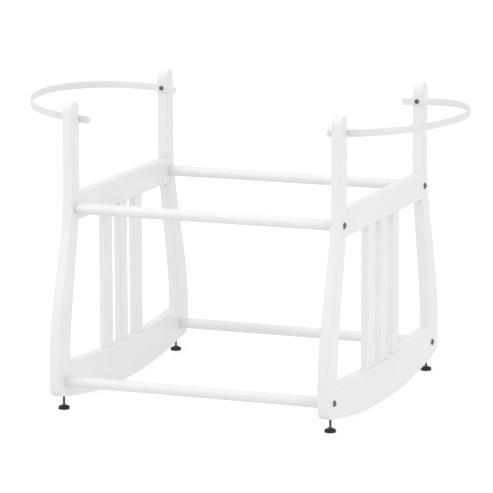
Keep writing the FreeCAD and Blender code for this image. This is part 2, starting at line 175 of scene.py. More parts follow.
class Graph:
    """A material's node tree, built from expressions."""

    def __init__(self, name: str) -> None:
        """Makes a material with one Principled shader.

        Args:
            name: The material's name.
        """
        self.material = bpy.data.materials.new(name)
        self.material.use_nodes = True
        self.tree = self.material.node_tree
        self.shader = self.tree.nodes["Principled BSDF"]

    def add(self, kind: str, settings: dict, inputs: dict, output: int = 0) -> Value:
        """Adds a node.

        Args:
            kind: The node's type.
            settings: Its properties, set first.
            inputs: Values or links for its sockets, by name or number.
            output: Which of its outputs to return.

        Returns:
            That output.
        """
        node = self.tree.nodes.new(kind)
        for name, setting in settings.items():
            setattr(node, name, setting)
        for key, given in inputs.items():
            self.feed(node.inputs[key], given)
        return Value(self, node.outputs[output])

    def feed(self, socket: bpy.types.NodeSocket, given: object) -> None:
        """Links a value to a socket, or sets the socket's own number.

        Args:
            socket: The input to fill.
            given: A Value, a number, or a tuple for a colour or vector.
        """
        if isinstance(given, Value):
            self.tree.links.new(given.source, socket)
        elif isinstance(given, tuple) and len(given) == 3 and socket.type == "RGBA":
            socket.default_value = (*given, 1.0)
        else:
            socket.default_value = given

    def place(self, scale: tuple = (1.0, 1.0, 1.0)) -> Value:
        """Object coordinates, stretched by a scale for each axis."""
        here = self.add("ShaderNodeTexCoord", {}, {}, output=3)
        return self.add("ShaderNodeMapping", {}, {"Vector": here, "Scale": scale})

    def noise(self, scale: float, where: Value, detail: float = 3.0,
              roughness: float = 0.55) -> Value:
        """Fractal noise from 0 to 1.

        Args:
            scale: Repeats a metre.
            where: The coordinates it is read at.
            detail: How many finer layers it has.
            roughness: How strong the finer layers are.

        Returns:
            The noise.
        """
        inputs = {"Vector": where, "Scale": scale, "Detail": detail, "Roughness": roughness}
        return self.add("ShaderNodeTexNoise", {}, inputs)

    def blend(self, share: Value, low: object, high: object) -> Value:
        """A mix of two colours.

        Args:
            share: 0 for low, 1 for high.
            low: A colour or a link.
            high: A colour or a link.

        Returns:
            The mixed colour.
        """
        inputs = {0: share, 6: low, 7: high}
        return self.add("ShaderNodeMix", {"data_type": "RGBA"}, inputs, output=2)

    def relief(self, height: Value, depth: float, under: Value = None) -> Value:
        """A Bump node.

        Args:
            height: The height pattern from 0 to 1.
            depth: What a height of 1 stands for, in metres.
            under: A normal from a coarser relief.

        Returns:
            The normal.
        """
        inputs = {"Height": height, "Distance": depth, "Strength": 1.0}
        if under is not None:
            inputs["Normal"] = under
        return self.add("ShaderNodeBump", {}, inputs)

    def fixed(self, **numbers: object) -> None:
        """Sets constants on the Principled shader; an underscore in a name stands for a space."""
        for name, number in numbers.items():
            self.feed(self.shader.inputs[name.replace("_", " ")], number)


# ---- finishes ----


@dataclass(frozen=True)
class Lacquer:
    """White semi-gloss paint over fine-grained hardwood, with the grain just telling through, and shade
    painted into its shut-in corners.

    Scales are in repeats a metre and reliefs in metres.
    """

    grain: Axis
    light: tuple = (0.815, 0.817, 0.820)
    shade: tuple = (0.785, 0.788, 0.792)
    # the warm grey that is painted into shut-in corners as shade
    grime: tuple = (0.640, 0.620, 0.580)
    stretch: float = 0.035
    cloud_scale: float = 7.0
    cloud_share: float = 0.7
    cloud_span: tuple = (0.32, 0.68)
    figure_scale: float = 38.0
    figure_relief: float = 0.10 * MM
    pore_scale: float = 420.0
    pore_relief: float = 0.030 * MM
    peel_scale: float = 900.0
    peel_relief: float = 0.012 * MM
    dust_scale: float = 60.0
    dust_span: tuple = (0.62, 0.80)
    dust_dulling: float = 0.05
    grime_share: float = 0.10
    nook_samples: int = 8
    nook_reach: float = 0.012
    nook_span: tuple = (0.25, 0.85)
    gloss: tuple = (0.30, 0.70, 0.30, 0.42)

    def material(self) -> bpy.types.Material:
        """Builds the material.

        Returns:
            The paint, with its grain along the chosen axis.
        """
        graph = Graph(label("lacquer", self.grain))
        along = [1.0, 1.0, 1.0]
        along[self.grain.value] = self.stretch
        flat = graph.place()
        grained = graph.place(tuple(along))
        cloud = graph.noise(self.cloud_scale, flat, detail=4.0)
        pores = graph.noise(self.pore_scale, grained, detail=4.0, roughness=0.6)
        figure = graph.noise(self.figure_scale, grained, roughness=0.5)
        peel = graph.noise(self.peel_scale, flat, detail=2.0)
        dust_and_shade = graph.noise(self.dust_scale, flat, detail=6.0, roughness=0.7).window(*self.dust_span)
        mottle = cloud * self.cloud_share + figure * (1 - self.cloud_share)
        tone = graph.blend(mottle.window(*self.cloud_span), self.light, self.shade)
        # Painted shade: an ambient-occlusion mask darkens the paint in shut-in corners, more where the
        # dust pattern is high; the same pattern also dulls the gloss
        painted_nook_shade = self._nook(graph) * (self.grime_share + dust_and_shade * self.grime_share)
        tone = graph.blend(painted_nook_shade, tone, self.grime)
        rough = (cloud * 0.5 + pores * 0.5).window(*self.gloss) + dust_and_shade * self.dust_dulling
        normal = graph.relief(figure, self.figure_relief)
        normal = graph.relief(pores, self.pore_relief, normal)
        normal = graph.relief(peel, self.peel_relief, normal)
        graph.fixed(Base_Color=tone, Roughness=rough, Normal=normal, IOR=1.48)
        graph.fixed(Coat_Weight=0.20, Coat_Roughness=0.16, Coat_IOR=1.45)
        return graph.material

    def _nook(self, graph: Graph) -> Value:
        """Where the surface is shut in, such as the corner between a slat and a rail; the paint is
        darkened there as painted shade.

        Args:
            graph: The material's nodes.

        Returns:
            0 in the open, 1 deep in a corner.
        """
        open_sky = graph.add("ShaderNodeAmbientOcclusion", {"samples": self.nook_samples},
                             {"Distance": self.nook_reach}, output=1)
        return (1 - open_sky).window(*self.nook_span)


@dataclass(frozen=True)
class PowderCoat:
    """Fine-textured powder coat on thin steel."""

    name: str
    light: tuple
    shade: tuple
    cloud_scale: float = 16.0
    cloud_span: tuple = (0.35, 0.65)
    grit_scale: float = 1500.0
    grit_relief: float = 0.018 * MM
    ripple_scale: float = 120.0
    ripple_relief: float = 0.02 * MM
    gloss: tuple = (0.3, 0.7, 0.35, 0.48)

    def material(self) -> bpy.types.Material:
        """Builds the material.

        Returns:
            The coat, slightly mottled, with a fine cast texture.
        """
        graph = Graph(self.name)
        flat = graph.place()
        cloud = graph.noise(self.cloud_scale, flat, detail=4.0)
        grit = graph.noise(self.grit_scale, flat, detail=2.0)
        tone = graph.blend(cloud.window(*self.cloud_span), self.light, self.shade)
        rough = (cloud * 0.6 + grit * 0.4).window(*self.gloss)
        normal = graph.relief(graph.noise(self.ripple_scale, flat, detail=2.0), self.ripple_relief)
        normal = graph.relief(grit, self.grit_relief, normal)
        graph.fixed(Base_Color=tone, Roughness=rough, Normal=normal)
        graph.fixed(IOR=1.5, Coat_Weight=0.1, Coat_Roughness=0.25)
        return graph.material


@dataclass(frozen=True)
class Metal:
    """A plated or turned metal with fine machining lines."""

    name: str
    light: tuple
    shade: tuple
    gloss: float
    metallic: float = 1.0
    gloss_swing: float = 0.08
    cloud_scale: float = 220.0
    cloud_span: tuple = (0.3, 0.7)
    line_scale: float = 2600.0
    line_stretch: float = 0.15
    line_relief: float = 0.012 * MM
    scuff_scale: float = 700.0
    scuff_span: tuple = (0.60, 0.72)
    scuff_dulling: float = 0.12

    def material(self) -> bpy.types.Material:
        """Builds the material.

        Returns:
            The metal, scuffed and slightly uneven in tone.
        """
        graph = Graph(self.name)
        flat = graph.place()
        cloud = graph.noise(self.cloud_scale, flat, detail=4.0)
        stretched = graph.place((self.line_stretch, 1.0, 1.0))
        lines = graph.noise(self.line_scale, stretched, roughness=0.7)
        scuff = graph.noise(self.scuff_scale, flat, detail=5.0, roughness=0.75)
        tone = graph.blend(cloud.window(*self.cloud_span), self.light, self.shade)
        rough = (cloud * 0.5 + lines * 0.5).window(
            *self.cloud_span, self.gloss - self.gloss_swing, self.gloss + self.gloss_swing)
        rough = rough + scuff.window(*self.scuff_span) * self.scuff_dulling
        graph.fixed(Base_Color=tone, Roughness=rough, Metallic=self.metallic,
                    Normal=graph.relief(lines, self.line_relief))
        return graph.material


@dataclass(frozen=True)
class Rubber:
    """Moulded black rubber or nylon, dull and a little uneven."""

    name: str
    light: tuple
    shade: tuple
    gloss: float = 0.62
    duller: float = 0.12
    glossier: float = 0.10
    cloud_scale: float = 140.0
    cloud_span: tuple = (0.3, 0.75)
    grain_scale: float = 2200.0
    grain_span: tuple = (0.3, 0.7)
    grain_relief: float = 0.03 * MM

    def material(self) -> bpy.types.Material:
        """Builds the material.

        Returns:
            The moulded surface, with a grained texture.
        """
        graph = Graph(self.name)
        flat = graph.place()
        cloud = graph.noise(self.cloud_scale, flat, detail=4.0)
        grain = graph.noise(self.grain_scale, flat)
        tone = graph.blend(cloud.window(*self.cloud_span), self.shade, self.light)
        rough = (cloud * 0.4 + grain * 0.6).window(
            *self.grain_span, self.gloss - self.glossier, self.gloss + self.duller)
        graph.fixed(Base_Color=tone, Roughness=rough, Normal=graph.relief(grain, self.grain_relief))
        return graph.material


@dataclass(frozen=True)
class BareBeech:
    """Unpainted beech with short darker flecks, for the dowels."""

    light: tuple = (0.62, 0.42, 0.24)
    shade: tuple = (0.42, 0.25, 0.13)
    stretch: float = 0.08
    fleck_scale: float = 900.0
    fleck_span: tuple = (0.35, 0.70)
    fleck_relief: float = 0.05 * MM
    gloss: tuple = (0.3, 0.7, 0.55, 0.72)

    def material(self) -> bpy.types.Material:
        """Builds the material.

        Returns:
            The wood, with its grain along Y.
        """
        graph = Graph("bare_beech")
        grained = graph.place((1.0, self.stretch, 1.0))
        flecks = graph.noise(self.fleck_scale, grained, detail=5.0, roughness=0.65)
        tone = graph.blend(flecks.window(*self.fleck_span), self.light, self.shade)
        graph.fixed(Base_Color=tone, Roughness=flecks.window(*self.gloss),
                    Normal=graph.relief(flecks, self.fleck_relief))
        return graph.material


@dataclass
class Finishes:
    """Every material of the stand, made once."""

    lacquer: dict = field(default_factory=dict)
    band: bpy.types.Material = None
    fastener: bpy.types.Material = None
    stem_steel: bpy.types.Material = None
    zinc: bpy.types.Material = None
    brass: bpy.types.Material = None
    nylon: bpy.types.Material = None
    rubber: bpy.types.Material = None
    beech: bpy.types.Material = None

    def __post_init__(self) -> None:
        """Builds the materials."""
        self.lacquer = {axis: Lacquer(axis).material() for axis in Axis}
        self.band = PowderCoat(
            "band_powder", (0.780, 0.778, 0.792), (0.752, 0.751, 0.766)).material()
        self.fastener = Metal(
            "dark_nickel", (0.17, 0.165, 0.155), (0.11, 0.107, 0.10), 0.30, metallic=0.95).material()
        self.stem_steel = Metal("stem_zinc", (0.22, 0.22, 0.215), (0.16, 0.16, 0.16), 0.34).material()
        self.zinc = Metal("bright_zinc", (0.62, 0.62, 0.60), (0.46, 0.47, 0.47), 0.30).material()
        self.brass = Metal("turned_brass", (0.72, 0.52, 0.20), (0.55, 0.38, 0.14), 0.28).material()
        self.nylon = Rubber("natural_nylon", (0.78, 0.78, 0.74), (0.70, 0.70, 0.66), 0.45).material()
        self.rubber = Rubber(
            "black_rubber", (0.012, 0.012, 0.013), (0.004, 0.004, 0.0045)).material()
        self.beech = BareBeech().material()


# ---- the bench: modelling with edit-mode operators ----


def clear_selection() -> None:
    """Leaves edit mode and deselects everything."""
    if bpy.context.object is not None and bpy.context.object.mode != "OBJECT":
        bpy.ops.object.mode_set(mode="OBJECT")
    bpy.ops.object.select_all(action="DESELECT")


class Piece:
    """A mesh on the bench, shaped with edit-mode operators."""

    def __init__(self, name: str) -> None:
        """Takes the primitive that was just added.

        Args:
            name: The piece's name.
        """
        self.obj = bpy.context.object
        self.obj.name = name
        self.obj.data.name = name
        bpy.ops.object.transform_apply(location=True, rotation=True, scale=True)

    @classmethod
    def block(cls, name: str, low: Sequence[float], high: Sequence[float]) -> "Piece":
        """A box between two corners.

        Args:
            name: The piece's name.
            low: Its lowest corner.
            high: Its highest corner.

        Returns:
            The piece.
        """
        clear_selection()
        low, high = Vector(low), Vector(high)
        bpy.ops.mesh.primitive_cube_add(size=1.0, location=(low + high) / 2)
        bpy.context.object.scale = high - low
        return cls(name)

    @classmethod
    def turned(cls, name: str, start: Sequence[float], end: Sequence[float], radius: float,
               sides: int = ROUND_SIDES) -> "Piece":
        """A cylinder between two points.

        Args:
            name: The piece's name.
            start: The middle of one end.
            end: The middle of the other end.
            radius: Its radius.
            sides: How many flats it has.

        Returns:
            The piece.
        """
        clear_selection()
        start, end = Vector(start), Vector(end)
        line = end - start
        turn = line.to_track_quat("Z", "Y").to_euler()
        bpy.ops.mesh.primitive_cylinder_add(vertices=sides, radius=radius, depth=line.length,
                                            location=(start + end) / 2, rotation=turn)
        return cls(name)

    def take_up(self) -> None:
        """Selects the piece, and nothing else, in object mode."""
        clear_selection()
        bpy.context.view_layer.objects.active = self.obj
        self.obj.select_set(True)

    def copy(self, name: str, shift: Sequence[float] = (0, 0, 0),
             flip: Sequence[float] = (1, 1, 1)) -> "Piece":
        """A copy with its own mesh.

        Args:
            name: The copy's name.
            shift: How far it is moved.
            flip: -1 for each axis along which it is first mirrored, about the row's origin.

        Returns:
            The copy.
        """
        self.take_up()
        bpy.ops.object.duplicate(linked=False)
        other = Piece(name)
        with other.editing("VERT"):
            bpy.ops.mesh.select_all(action="SELECT")
            bpy.ops.transform.resize(value=tuple(flip), center_override=(0, 0, 0))
            bpy.ops.transform.translate(value=tuple(shift))
        return other

    def copy_to(self, name: str, like: str, node: str,
                flip: Sequence[float] = (1, 1, 1)) -> "Piece":
        """A copy that stands to one CAD node as this piece stands to another.

        Args:
            name: The copy's name.
            like: The node that this piece was modelled on.
            node: The node that the copy is for.
            flip: -1 for each axis along which it is first mirrored.

        Returns:
            The copy.
        """
        flipped = [min(a * turn, b * turn) for a, b, turn in zip(*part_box(like), flip)]
        return self.copy(name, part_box(node)[0] - Vector(flipped), flip)

    def scrap(self) -> None:
        """Takes the piece off the bench for good."""
        bpy.data.objects.remove(self.obj)

    @contextmanager
    def editing(self, mode: str = "FACE") -> Iterator[None]:
        """Edit mode with nothing selected.

        Args:
            mode: VERT, EDGE or FACE.

        Yields:
            Nothing; the piece is back in object mode afterwards.
        """
        self.take_up()
        bpy.ops.object.mode_set(mode="EDIT")
        bpy.ops.mesh.select_mode(type=mode)
        bpy.ops.mesh.select_all(action="DESELECT")
        yield
        bpy.ops.object.mode_set(mode="OBJECT")

    def _pick(self, parts: str, test: Callable) -> None:
        """Selects the parts that pass a test, and only those, in edit mode.

        Args:
            parts: verts, edges or faces.
            test: Says whether a part is wanted.
        """
        mesh = bmesh.from_edit_mesh(self.obj.data)
        mesh.normal_update()
        for kind in (mesh.faces, mesh.edges, mesh.verts):
            for part in kind:
                part.select_set(False)
        for part in [part for part in getattr(mesh, parts) if test(part)]:
            part.select_set(True)
        mesh.select_flush_mode()
        bmesh.update_edit_mesh(self.obj.data)

    def pick_faces(self, test: Callable) -> None:
        """Selects faces by a test on the face."""
        self._pick("faces", test)

    def pick_edges(self, test: Callable) -> None:
        """Selects edges by a test on the edge."""
        self._pick("edges", test)

    def pick_verts(self, test: Callable) -> None:
        """Selects vertices by a test on the vertex."""
        self._pick("verts", test)

    def facing(self, direction: Sequence[float], limit: float = 0.99) -> None:
        """Selects the faces whose normals are within a cosine of a direction."""
        aim = Vector(direction)
        self.pick_faces(lambda face: face.normal.dot(aim) > limit)

    def grow(self, offset: Sequence[float], scale: Sequence[float] = (1.0, 1.0, 1.0)) -> None:
        """Extrudes the selection, moves it and scales it about its middle.

        Args:
            offset: How far it moves.
            scale: How much it is scaled along each axis.
        """
        bpy.ops.mesh.extrude_region_move(TRANSFORM_OT_translate={"value": tuple(offset)})
        self.scale_selected(scale)

    def scale_selected(self, scale: Sequence[float]) -> None:
        """Scales the selection about the middle of its box.

        Args:
            scale: How much along each axis.
        """
        mesh = bmesh.from_edit_mesh(self.obj.data)
        spots = [vert.co for vert in mesh.verts if vert.select]
        middle = [(min(line) + max(line)) / 2 for line in zip(*spots)]
        bpy.ops.transform.resize(value=tuple(scale), center_override=middle)

    def score(self, place: Sequence[float], normal: Sequence[float],
              test: Callable = lambda face: True) -> None:
        """Divides the faces that a plane crosses, in edit mode.

        Args:
            place: A point of the plane.
            normal: The plane's direction.
            test: Which faces are divided.
        """
        self.pick_faces(test)
        bpy.ops.mesh.bisect(plane_co=tuple(place), plane_no=tuple(normal))

    def round_edges(self, radius: float, segments: int, test: Callable = None) -> None:
        """Rounds edges, in edit mode.

        Args:
            radius: How far from the edge the rounding starts.
            segments: How many flats it has.
            test: Which edges are rounded; the corners, if it isn't given.
        """
        self.pick_edges(test or sharp)
        bpy.ops.mesh.bevel(offset=radius, segments=segments, affect="EDGES")

    def modify(self, kind: str, **settings: object) -> None:
        """Adds a modifier and applies it.

        Args:
            kind: The modifier's type.
            settings: Its properties.
        """
        self.take_up()
        modifier = self.obj.modifiers.new(kind.lower(), kind)
        for name, setting in settings.items():
            setattr(modifier, name, setting)
        bpy.ops.object.modifier_apply(modifier=modifier.name)

    def carve(self, cutter: "Piece") -> None:
        """Cuts another piece out of this one and removes it."""
        self.modify("BOOLEAN", operation="DIFFERENCE", solver="EXACT", object=cutter.obj)
        cutter.scrap()

    def drill(self, start: Sequence[float], end: Sequence[float], pin_radius: float,
              sides: int = HOLE_SIDES) -> None:
        """Drills a round hole between two points, with a little room for its pin.

        Args:
            start: The middle of one end.
            end: The middle of the other end.
            pin_radius: The radius of the pin.
            sides: How many flats the hole has.
        """
        self.carve(Piece.turned("drill", start, end, pin_radius + CLEARANCE, sides))

    def merge(self, others: Iterable["Piece"]) -> "Piece":
        """Joins other pieces into this one.

        Args:
            others: The pieces to take in.

        Returns:
            This piece.
        """
        self.take_up()
        for other in others:
            other.obj.select_set(True)
        bpy.ops.object.join()
        return self

    def clean(self) -> None:
        """Merges doubles and turns the faces outwards."""
        with self.editing("VERT"):
            bpy.ops.mesh.select_all(action="SELECT")
            bpy.ops.mesh.remove_doubles(threshold=MERGE)
            bpy.ops.mesh.normals_make_consistent(inside=False)

    def finish(self, material: bpy.types.Material, slot: str, body: str, nodes: Sequence[str],
               smooth: float = 32.0, true_flats: bool = False) -> None:
        """Cleans, dresses and places the piece.

        Args:
            material: Its finish.
            slot: Not used.
            body: The body it rides on.
            nodes: The CAD nodes it stands for.
            smooth: The angle under which edges are shaded smooth, in degrees.
            true_flats: Whether large flats keep an even shade up to their rounded edges.
        """
        self.clean()
        self.take_up()
        bpy.ops.object.shade_smooth_by_angle(angle=math.radians(smooth))
        if true_flats:
            self.modify("WEIGHTED_NORMAL", mode="FACE_AREA", keep_sharp=True)
        self.obj.data.materials.clear()
        self.obj.data.materials.append(material)
        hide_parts(*nodes)
        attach(self.obj, body)
        log.info("%-28s %6d faces on %s", self.obj.name, len(self.obj.data.polygons), body)


def sharp(edge: bmesh.types.BMEdge, least: float = CORNER) -> bool:
    """True where the two faces of an edge meet at more than an angle in degrees."""
    return len(edge.link_faces) == 2 and edge.calc_face_angle(0.0) > math.radians(least)


def span(edge: bmesh.types.BMEdge, axis: Axis) -> float:
    """How far an edge reaches along an axis."""
    return abs(edge.verts[0].co[axis.value] - edge.verts[1].co[axis.value])


def set_boards(piece: Piece, like: str, places: Sequence[tuple], look: bpy.types.Material) -> None:
    """Sets a painted copy of a board at each of its places, and scraps the pattern.

    Args:
        piece: The board that was modelled.
        like: The CAD node it was modelled on.
        places: A CAD node and a flip for each copy.
        look: The paint.
    """
    for node, flip in places:
        board = piece.copy_to("painted_" + node, like, node, flip)
        board.finish(look, "painted_wood", "frame", [node], true_flats=True)
    piece.scrap()


# ---- the end panels ----


@dataclass
class EndPanels:
    """The two slatted end panels: each has two legs, a top rail, a rocker and its slats.

    Every board is modelled once, at its place in the left panel, and copied to its other places.
    """

    finishes: Finishes
    post_width: float = 0.040
    flare_start_z: float = 0.513
    outer_flare: float = 0.085
    outer_flare_end_z: float = 0.110
    inner_flare: float = 0.0615
    inner_flare_end_z: float = 0.090
    rocker_radius: float = 1.930
    rocker_depth: float = 0.091
    rocker_top_radius: float = 3.300
    top_share: float = 0.999        # of half the post's width, in the radius of its top
    top_segments: int = 20
    toe_radius: float = 0.022
    toe_segments: int = 12
    edge_radius: float = 0.003
    edge_segments: int = 4
    sharp_angle: float = 50.0
    run_out: float = 0.004
    flare_steps: int = 28
    rail_rows: int = 6
    rocker_steps: int = 56
    slat_count: int = 3
    slat_segments: int = 5

    def __post_init__(self) -> None:
        """Reads the left panel's places from the frame."""
        low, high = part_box(label(Side.LEFT, End.BACK, "leg"))
        self.low_x, self.high_x = low.x, high.x
        self.top_z = high.z
        self.inner_y = low.y
        self.outer_y = low.y + self.post_width
        rail_low, rail_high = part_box(label(Side.LEFT, "top_rail"))
        self.rail_low_z, self.rail_high_z = rail_low.z, rail_high.z
        self.rocker_low_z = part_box(label(Side.LEFT, "rocker"))[0].z
        self.seam_low_z = self.rocker_top_z(self.inner_edge(0.0))

    def rocking_z(self, y: float) -> float:
        """Height of the curve that the panel rocks on, at a distance from its middle."""
        return self.rocker_low_z + self.rocker_radius - math.sqrt(self.rocker_radius ** 2 - y * y)

    def rocker_top_z(self, y: float) -> float:
        """Height of the rocker's upper edge at a distance from its middle."""
        low_z = self.rocker_low_z + self.rocker_depth
        return low_z + self.rocker_top_radius - math.sqrt(self.rocker_top_radius ** 2 - y * y)

    def flared(self, start: float, flare: float, end_z: float, z: float) -> float:
        """How far out a leg's edge stands at a height.

        Args:
            start: Its place on the straight post.
            flare: How far it swings out in all.
            end_z: The height where the flare ends.
            z: The height asked for.

        Returns:
            The distance from the middle of the panel.
        """
        share = (self.flare_start_z - z) / (self.flare_start_z - end_z)
        share = min(1.0, max(0.0, share))
        return start + flare * (1 - math.cos(math.pi * share)) / 2

    def inner_edge(self, z: float) -> float:
        """The leg's inner edge at a height."""
        return self.flared(self.inner_y, self.inner_flare, self.inner_flare_end_z, z)

    def outer_edge(self, z: float) -> float:
        """The leg's outer edge at a height."""
        return self.flared(self.outer_y, self.outer_flare, self.outer_flare_end_z, z)

    def build(self) -> None:
        """Models each board once and sets copies of it in both panels."""
        legs = [(label(side, end, "leg"), (1, end.value, 1)) for side, end in CORNERS]
        set_boards(self.leg(), label(Side.LEFT, End.BACK, "leg"), legs, self.finishes.lacquer[Axis.Z])
        top_rails = [(label(side, "top_rail"), (1, 1, 1)) for side in Side]
        set_boards(self.top_rail(), top_rails[0][0], top_rails, self.finishes.lacquer[Axis.Y])
        rockers = [(label(side, "rocker"), (1, 1, 1)) for side in Side]
        set_boards(self.rocker(), rockers[0][0], rockers, self.finishes.lacquer[Axis.Y])
        slats = [(label(side, "slat", number), (1, 1, 1)) for side in Side
                 for number in range(1, self.slat_count + 1)]
        set_boards(self.slat(slats[0][0]), slats[0][0], slats, self.finishes.lacquer[Axis.Z])

    def leg(self) -> Piece:
        """The left back leg: a post block with a round top, grown down through the flare.

        Returns:
            The leg, not yet dressed.
        """
        piece = Piece.block("leg", (self.low_x, self.inner_y, self.flare_start_z),
                            (self.high_x, self.outer_y, self.top_z))
        with piece.editing():
            piece.facing((0, 0, -1))
            self._grow_flare(piece)
            self._slope_foot(piece)
            self._score_seams(piece)
        with piece.editing("EDGE"):
            self._round_top(piece)
            self._round_toe(piece)
            piece.round_edges(self.edge_radius, self.edge_segments, self._is_free_edge)
        return piece

    def _grow_flare(self, piece: Piece) -> None:
        """Extrudes the bottom face down in steps that follow both flared edges.

        Args:
            piece: The leg, its bottom face selected.
        """
        foot_z = self.rocking_z(self.outer_y + self.outer_flare) + self.toe_radius
        z, low, high = self.flare_start_z, self.inner_y, self.outer_y
        for step in range(1, self.flare_steps + 1):
            next_z = self.flare_start_z + (foot_z - self.flare_start_z) * step / self.flare_steps
            next_low, next_high = self.inner_edge(next_z), self.outer_edge(next_z)
            shift = ((next_low + next_high) - (low + high)) / 2
            piece.grow((0, shift, next_z - z), (1, (next_high - next_low) / (high - low), 1))
            z, low, high = next_z, next_low, next_high
        piece.grow((0, 0, -self.toe_radius))

    def _slope_foot(self, piece: Piece) -> None:
        """Moves the lower edges of the foot onto the rocker's curve.

        Args:
            piece: The leg.
        """
        mesh = bmesh.from_edit_mesh(piece.obj.data)
        bottom = min(vert.co.z for vert in mesh.verts)
        lowest = {round(vert.co.y, 6) for vert in mesh.verts if vert.co.z < bottom + TOUCH}
        for y in sorted(lowest):
            piece.pick_verts(lambda vert: abs(vert.co.y - y) < TOUCH
                             and abs(vert.co.z - bottom) < TOUCH)
            bpy.ops.transform.translate(value=(0, 0, self.rocking_z(y) - bottom))

    def _score_seams(self, piece: Piece) -> None:
        """Divides the leg where its rounded edges run out at the top rail and the rocker.

        Args:
            piece: The leg.
        """
        for high in (self.rail_high_z, self.rail_low_z + self.run_out, self.seam_low_z):
            low = high - self.run_out
            piece.score((0, 0, high), (0, 0, 1))
            piece.score((0, 0, low), (0, 0, 1))
            place = self.inner_edge(low) + self.edge_radius + self.run_out / 2
            piece.score((0, place, 0), (0, 1, 0), lambda face: abs(face.normal.x) > SIDEWAYS
                        and low < face.calc_center_median().z < high)

    def _round_top(self, piece: Piece) -> None:
        """Rounds both upper corners until they meet in a half circle.

        Args:
            piece: The leg.
        """
        piece.round_edges(self.post_width / 2 * self.top_share, self.top_segments,
                          lambda edge: all(self.top_z - vert.co.z < TOUCH for vert in edge.verts)
                          and span(edge, Axis.Y) < TOUCH)

    def _round_toe(self, piece: Piece) -> None:
        """Rounds the outer bottom corner of the foot, where the rocking curve rises to meet it.

        Args:
            piece: The leg.
        """
        toe_y = self.outer_y + self.outer_flare
        toe_z = self.rocking_z(toe_y)
        slope = math.asin(toe_y / self.rocker_radius)
        piece.round_edges(self.toe_radius / math.tan((math.pi / 2 + slope) / 2), self.toe_segments,
                          lambda edge: all(abs(vert.co.y - toe_y) < TOUCH
                                           and abs(vert.co.z - toe_z) < NEAR for vert in edge.verts))

    def _is_free_edge(self, edge: bmesh.types.BMEdge) -> bool:
        """Tells the leg's long edges, leaving out where another board butts against it.

        Args:
            edge: An edge of the leg.

        Returns:
            True if it is to be rounded.
        """
        if span(edge, Axis.X) > TOUCH or not sharp(edge, self.sharp_angle):
            return False
        middle = (edge.verts[0].co + edge.verts[1].co) / 2
        inner = abs(middle.y - self.inner_edge(middle.z)) < NEAR
        at_rail = self.rail_low_z < middle.z < self.rail_high_z
        return not (inner and (at_rail or middle.z < self.seam_low_z))

    def top_rail(self) -> Piece:
        """The left top rail, its ends cut to the legs' flare.

        Returns:
            The rail, not yet dressed.
        """
        piece = Piece.block("top_rail", (self.low_x, -self.inner_y, self.rail_low_z),
                            (self.high_x, self.inner_y, self.rail_high_z))
        height = self.rail_high_z - self.rail_low_z
        rows = [self.rail_low_z + height * row / self.rail_rows for row in range(self.rail_rows + 1)]
        with piece.editing():
            for z in rows[1:-1]:
                piece.score((0, 0, z), (0, 0, 1))
        with piece.editing("VERT"):
            for z in rows:
                for end in End:
                    piece.pick_verts(lambda vert: abs(vert.co.z - z) < TOUCH
                                     and vert.co.y * end.value > 0)
                    shift = end.value * (self.inner_edge(z) - self.inner_y)
                    bpy.ops.transform.translate(value=(0, shift, 0))
        self._soften_along_y(piece)
        return piece

    def _soften_along_y(self, piece: Piece) -> None:
        """Rounds the long edges of a board that runs from front to back.

        Args:
            piece: The board.
        """
        with piece.editing("EDGE"):
            piece.round_edges(self.edge_radius, self.edge_segments,
                              lambda edge: sharp(edge) and span(edge, Axis.X) < TOUCH
                              and span(edge, Axis.Y) > 2 * span(edge, Axis.Z))

    def rocker(self) -> Piece:
        """The left rocker: a bar divided along its length, its rows moved onto the two curves.

        Returns:
            The rocker, not yet dressed.
        """
        end_y = self.inner_y + self.inner_flare
        steps = self.rocker_steps
        low_z, high_z = self.rocking_z(end_y), self.rocker_top_z(end_y)
        piece = Piece.block("rocker", (self.low_x, -end_y, low_z),
                            (self.high_x, -end_y + 2 * end_y / steps, high_z))
        with piece.editing():
            for _ in range(steps - 1):
                piece.facing((0, 1, 0))
                piece.grow((0, 2 * end_y / steps, 0))
                bpy.ops.mesh.select_all(action="DESELECT")
        with piece.editing("VERT"):
            for step in range(steps + 1):
                y = -end_y + 2 * end_y * step / steps
                for height, curve in ((low_z, self.rocking_z), (high_z, self.rocker_top_z)):
                    piece.pick_verts(lambda vert: abs(vert.co.y - y) < end_y / steps / 2
                                     and abs(vert.co.z - height) < TOUCH)
                    bpy.ops.transform.translate(value=(0, 0, curve(y) - height))
        self._soften_along_y(piece)
        return piece

    def slat(self, node: str) -> Piece:
        """A slat with rounded edges.

        Args:
            node: The CAD node that gives its place.

        Returns:
            The slat, not yet dressed.
        """
        piece = Piece.block("slat", *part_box(node))
        with piece.editing("EDGE"):
            piece.round_edges(self.edge_radius, self.slat_segments,
                              lambda edge: span(edge, Axis.Z) > self.post_width)
        return piece


# ---- round rails ----


